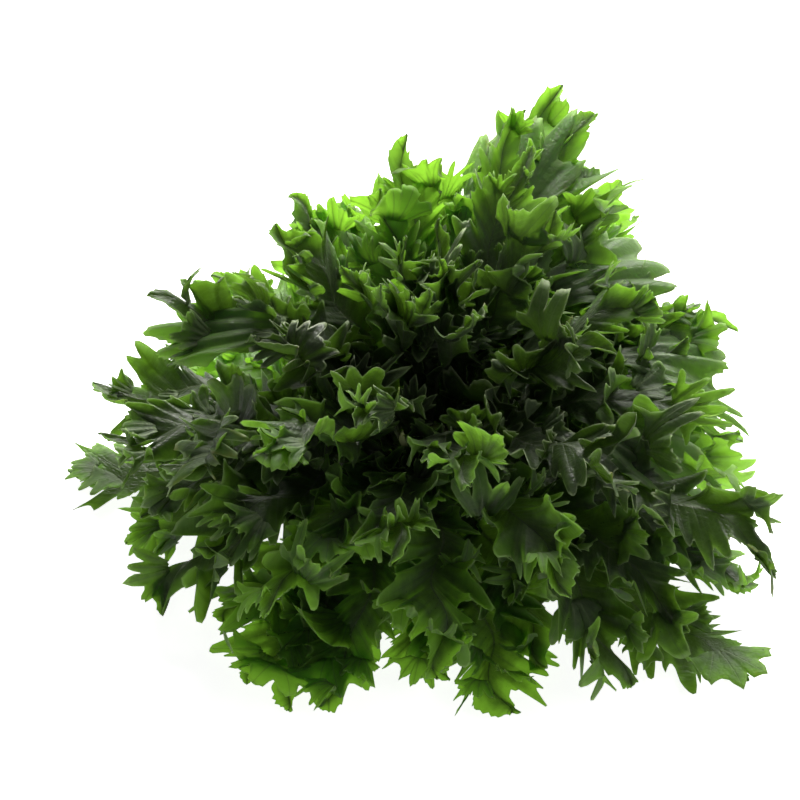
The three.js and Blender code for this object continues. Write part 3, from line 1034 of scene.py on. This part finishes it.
for j in range(smallLeaves["count"]):
    leaf = spiralLeaf(smallLeaves["from"] + smallLeaves["step"] * j, firstIndex["small"] + j)
    share = between(smallLeaves["length"], chance(j, draws["smallLength"]))
    leaf["length"] *= share * towards(leaf["turn"], smallLeaves["bumps"])
    leaf["reach"] *= smallLeaves["reach"]
    makeSmallLeaf(f"small_leaf_{j + 1:02d}", leaf)
for j, (i, turn, length, reach, bloom) in enumerate(loneLeaves):
    leaf = spiralLeaf(i, firstIndex["lone"] + j, turn)
    leaf.update(length=length, reach=reach, bloom=bloom)
    makeSmallLeaf(f"lone_leaf_{j + 1:02d}", leaf)
print("small leaves made:", smallLeaves["count"] + len(loneLeaves))

# Broad pleated sheets with a waxy bloom and fine fanning veins, in the tall tuft, at the right and at the
# upper left. They are fans as the frills are, with settings of their own.
broadFan = {
    "rays": 73,
    "rings": (0.04, 0.14, 0.24, 0.34, 0.44, 0.54, 0.63, 0.72, 0.8, 0.87, 0.94, 1.0),
    "fingerVaries": 0.5,
    "neckHalf": 8.0,  # mm
    "gutter": 1.5,  # mm
    "fingerLift": 0.16,
    "sideWave": 3.5,  # mm
    "sideWaves": 1.4,
    "finePerFinger": 4.0,
}
# the broad sheets carry painted light, which makes their green lighter
broadLeaf = {"share": 0.6, "bloom": 1.0, "paintedLight": 0.5, "depth": 0.2, "run": 0.8}
# the foot's direction, radius and height, the middle's direction and rise, then half angle, fingers, reach,
# bend and roll; angles in degrees, lengths in mm, the bend in radians
broadPlaces = (
    (64, 44, 92, 68, 34, 24, 5, 108, 0.45, -8),
    (56, 52, 86, 59, 28, 24, 4, 92, 0.6, 14),
    (30, 66, 96, 27, 8, 36, 5, 70, 0.7, 12),
    (4, 84, 82, 4, 4, 38, 5, 66, 0.7, -8),
    (-26, 84, 80, -22, -4, 36, 5, 62, 0.7, 10),
    (182, 64, 110, 178, -3, 25, 4, 72, 0.45, -6),
)


# Broad sheet j: its main direction comes from heading and rise, and it is rolled about that direction.
def makeBroadSheet(j, f, turn, out, height, heading, rise, half, fingers, reach, bend, roll):
    a, h, e, w = (math.radians(v) for v in (turn, heading, rise, roll))
    main, side, up = threeWays(h, e)
    axes = (main, *turnedBy(side, up, w))
    base = np.array([out * math.cos(a), out * math.sin(a), height])
    shape = dict(f, fingers=fingers, halfAngle=half, reach=reach, bend=bend)
    fan, made, spot = fanSheet(broadFan, firstIndex["broadFan"] + j, base, axes, shape)
    leaf = dict(f, index=firstIndex["broad"] + j)
    points, faces, made, spot = solidSheet(leaf, fan, made, spot, 0 * made["rib"])
    makePiece(f"broad_sheet_{j + 1:02d}", points, (faces,), made, spot, greenLeaf, None, "leaf")


for j, place in enumerate(broadPlaces):
    makeBroadSheet(j, broadLeaf, *place)
print("broad sheets made:", len(broadPlaces))

# Heart and stem

heart = {
    "leaves": 8,
    "lobes": 2,
    "foot": (6.0, 23.0),
    "footRadius": 2.5,
    "startRise": (82.0, 88.0),
    "endRise": (50.0, 80.0),
    "length": (104.0, 80.0),
    "reach": 15.0,
    "petiole": 2.6,
    "curl": 0.5,
    "closest": 6.0,
    "share": 1.0,
    "frills": 2,
    "frillSize": 1.0,
    "bloom": 0.0,
    "paintedLight": 0.0,
    "differ": {"length": 0.08, "sway": 6, "twist": 8},
}

stem = {
    # radius and height of the cut face and the wall up to the dome
    "wall": ((0, 0), (4, 0), (8, 0), (11.5, 0), (13.7, 0.05), (14.5, 0.7), (15, 3), (15.8, 6)),
    "dome": (110.0, 4.0, 22),  # first and last angle from the vertical, rings
    "sides": 96,
    "uneven": ((3, 0.014), (5, 0.01), (13, 0.006)),  # waves round it, share of the radius
    "cream": (0.62, 0.6, 0.36, 1),
    "green": (0.42, 0.5, 0.2, 1),
    "pith": (0.7, 0.68, 0.5, 1),
    "brown": (0.24, 0.11, 0.035, 1),
    "rust": (0.4, 0.21, 0.07, 1),
    "cutTop": 1.4,  # mm; the cut's marks fade out up to here
    "vesselRing": 11.2,  # mm from the axis
    "roughness": 0.42,
    "bump": (0.5, 0.0006),  # strength, depth in metres
}


# Young leaf i of the heart: a golden angle on from the one below, and higher on the solids' core, which is
# out of sight and left out here.
def heartLeaf(i, h=heart):

    def differing(trait, drawn):
        return spread(i, draws[drawn], h["differ"][trait])

    t = i / (h["leaves"] - 1)
    turn = growth["start"] + growth["golden"] * (growth["leaves"] + i)
    a = math.radians(turn)
    base = crown["height"] + crown["radius"] + crown["gap"]
    foot = (h["footRadius"] * math.cos(a), h["footRadius"] * math.sin(a), base + between(h["foot"], t))
    return dict(
        h,
        index=firstIndex["heart"] + i,
        turn=turn,
        foot=foot,
        startRise=between(h["startRise"], t),
        endRise=between(h["endRise"], t),
        length=between(h["length"], t) * (1 + differing("length", "youngLength")),
        sway=differing("sway", "youngSway"),
        twist=differing("twist", "youngTwist"),
    )


# The stem turned about the vertical axis: its radius is that of the profile times a sum of small sines round
# it, and each end is closed by a fan of triangles.
def makeStem(name, f, material):
    first, last, count = f["dome"]
    polar = np.radians(np.linspace(first, last, count))
    dome = np.stack([crown["radius"] * np.sin(polar), crown["height"] + crown["radius"] * np.cos(polar)], -1)
    profile = np.concatenate([np.array(f["wall"][1:], float), dome])
    turns = np.arange(f["sides"]) * 2 * math.pi / f["sides"]
    uneven = 1 + sum(size * np.sin(waves * turns + waves) for waves, size in f["uneven"])
    radius = profile[:, :1] * uneven[None, :]
    points = np.stack([radius * np.cos(turns), radius * np.sin(turns), profile[:, 1:] + 0 * radius], -1)
    ends = [[0, 0, f["wall"][0][1]], [0, 0, crown["height"] + crown["radius"]]]
    points = np.concatenate([points.reshape(-1, 3), ends])
    index = np.arange(len(profile) * f["sides"]).reshape(len(profile), f["sides"])
    after = np.roll(index, -1, 1)
    walls = np.stack([index[:-1], after[:-1], after[1:], index[1:]], -1).reshape(-1, 4)
    foot = np.stack([0 * index[0] + len(points) - 2, after[0], index[0]], -1)
    head = np.stack([index[-1], after[-1], 0 * index[-1] + len(points) - 1], -1)
    makePiece(name, points, (walls, foot, head), {}, points, material, "stem", "stem")


# The stem's skin and cut: cream with rings and a ring of darker vessels, browned in patches where it was
# cut, and greener with fine upright streaks higher up. Each mark is an S-curve of a place or of noise.
def stemMaterial(name, f):
    s = Shader(name)
    place = s.attribute("flat", "Vector")
    axes = s.node("ShaderNodeSeparateXYZ", {}, {0: place})
    radius = (axes["X"] * axes["X"] + axes["Y"] * axes["Y"]) ** 0.5
    atCut = axes["Z"].smooth(f["cutTop"], 0.3)
    broad = s.noise(place, 0.11, 3.0)
    small = s.noise(place, 0.7, 4.0)
    streaks = s.noise(s.scaled(place, (1, 1, 0.12)), 1.3, 2.0)
    rings = (radius * 0.45 + broad * 1.2).math("PINGPONG", 0.5).smooth(0.1, 0.4)
    fromRing = (radius + broad * 2 - f["vesselRing"]).math("ABSOLUTE")
    vessels = fromRing.smooth(1.6, 0.3) * small.smooth(0.45, 0.6)
    browned = ((broad + small * 0.5).smooth(0.62, 0.86) * 0.75 + vessels * 0.6).clamp() * atCut
    color = s.layered(
        f,
        "cream",
        (axes["Z"].smooth(2.0, 16.0) * 0.8, "green"),
        (radius.smooth(9.0, 4.0) * atCut, "pith"),
        (rings * atCut * 0.3, "rust"),
        (streaks.smooth(0.45, 0.7) * (1 - atCut) * 0.4, "green"),
        (browned, "brown"),
    )
    height = small * 0.5 + rings * 0.3 * atCut + streaks * 0.5 * (1 - atCut) - vessels * 0.3
    rough = f["roughness"] + small * 0.25
    values = {"Base Color": color, "Roughness": rough, "Normal": s.bump(f["bump"], height)}
    return s.finish(s.node("ShaderNodeBsdfPrincipled", {}, values)["BSDF"])


makeStem("cut_stem", stem, stemMaterial("stem_flesh", stem))
print("stem made")

young = [heartLeaf(i) for i in range(heart["leaves"])]
makePiece("curly_heart", *leafParts(young), greenLeaf, "heart", "heart")
print("heart made")
